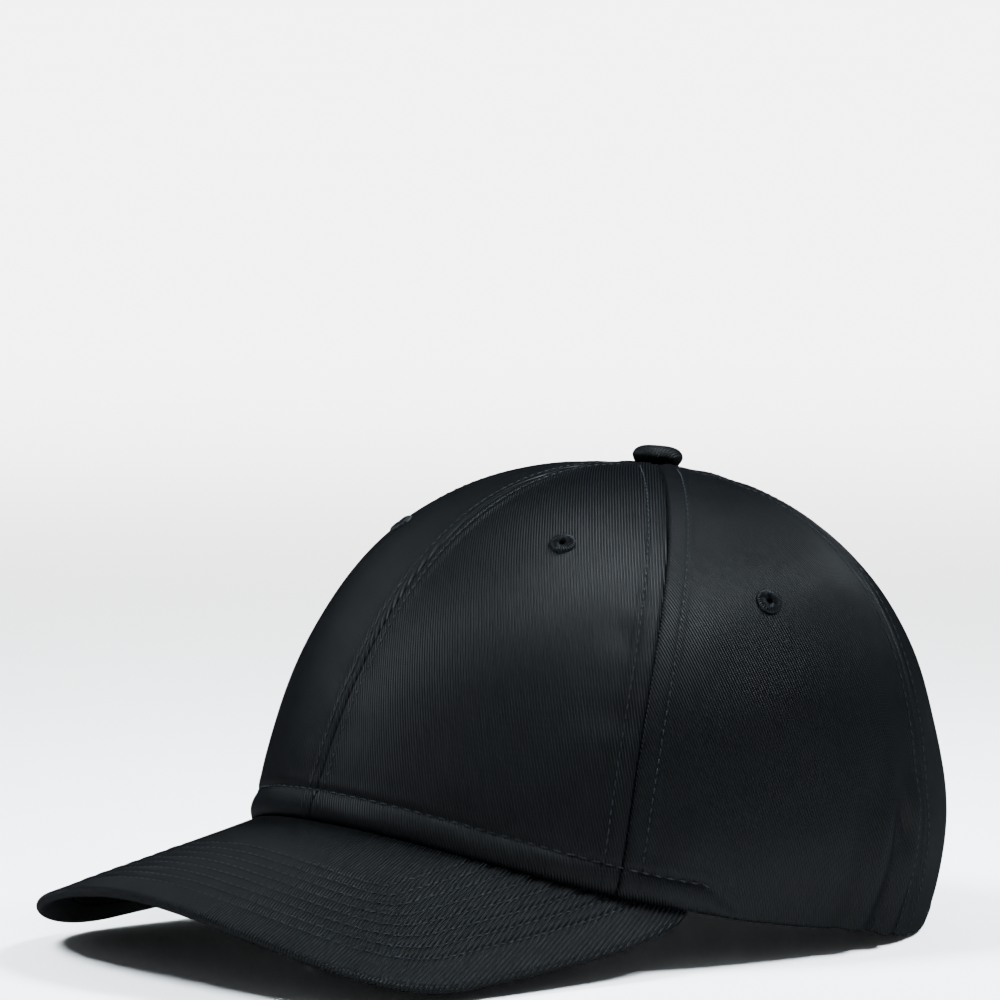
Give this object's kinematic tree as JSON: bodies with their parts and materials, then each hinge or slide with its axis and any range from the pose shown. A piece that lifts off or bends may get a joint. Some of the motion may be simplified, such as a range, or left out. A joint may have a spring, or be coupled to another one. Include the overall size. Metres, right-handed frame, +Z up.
{
  "type": "baseball cap",
  "caption": "Structured baseball cap with a panelled cloth crown, covered top button, curved stitched visor and a snap strap across an arched back opening.",
  "frame": {"origin": "on the table, straight below the button", "axes": "+Z up towards the button, -Y forward along the visor, +X towards the wearer's left"},
  "size_m": [0.1826, 0.2544, 0.1334],
  "materials": {
    "crown_cloth": "black cotton twill, soft sheen",
    "visor_cloth": "black cotton twill, soft sheen",
    "button_cloth": "black cotton twill stretched over a metal shell",
    "eyelet_thread": "black embroidery thread, slightly glossy",
    "seam_tape": "black woven tape",
    "sweatband_cloth": "black twill, padded",
    "buckram": "stiff open-weave lining",
    "visor_board": "moulded board",
    "button_metal": "plated",
    "strap_plastic": "black moulded plastic, satin"
  },
  "bodies": {
    "crown": {"front_panel_left": "crown_cloth", "front_panel_right": "crown_cloth", "side_panel_left": "crown_cloth", "side_panel_right": "crown_cloth", "back_panel_left": "crown_cloth", "back_panel_right": "crown_cloth", "front_buckram_left": "buckram", "front_buckram_right": "buckram", "seam_tape_front_center": "seam_tape", "seam_tape_front_left": "seam_tape", "seam_tape_front_right": "seam_tape", "seam_tape_back_left": "seam_tape", "seam_tape_back_right": "seam_tape", "seam_tape_back_center": "seam_tape", "sweatband": "sweatband_cloth", "back_arch_binding": "seam_tape", "eyelet_front_left": "eyelet_thread", "eyelet_front_right": "eyelet_thread", "eyelet_side_left": "eyelet_thread", "eyelet_side_right": "eyelet_thread", "eyelet_back_left": "eyelet_thread", "eyelet_back_right": "eyelet_thread", "button_cover": "button_cloth", "button_core": "button_metal", "button_washer": "button_metal", "strap_tab_left": "strap_plastic", "strap_tab_right": "strap_plastic"},
    "visor": {"visor_top_cover": "visor_cloth", "visor_board": "visor_board", "visor_under_cover": "visor_cloth"},
    "strap_outer_body": {"strap_outer": "strap_plastic"},
    "strap_inner_body": {"strap_inner": "strap_plastic"}
  },
  "joints": [
    {"name": "visor_flex", "type": "hinge", "parent": "crown", "child": "visor", "pos_m": [0, -0.1255, 0.0375], "axis": [-1, 0, 0], "range_deg": [0, 6], "stiffness_Nm_per_rad": 1.5},
    {"name": "strap_outer_swing", "type": "hinge", "parent": "crown", "child": "strap_outer_body", "pos_m": [0.041, 0.05924, 0.011], "axis": [0, 0, -1], "range_deg": [0, 75], "stiffness_Nm_per_rad": 0.02},
    {"name": "strap_inner_swing", "type": "hinge", "parent": "crown", "child": "strap_inner_body", "pos_m": [-0.041, 0.05738, 0.011], "axis": [0, 0, -1], "range_deg": [0, 25], "stiffness_Nm_per_rad": 0.02}
  ]
}
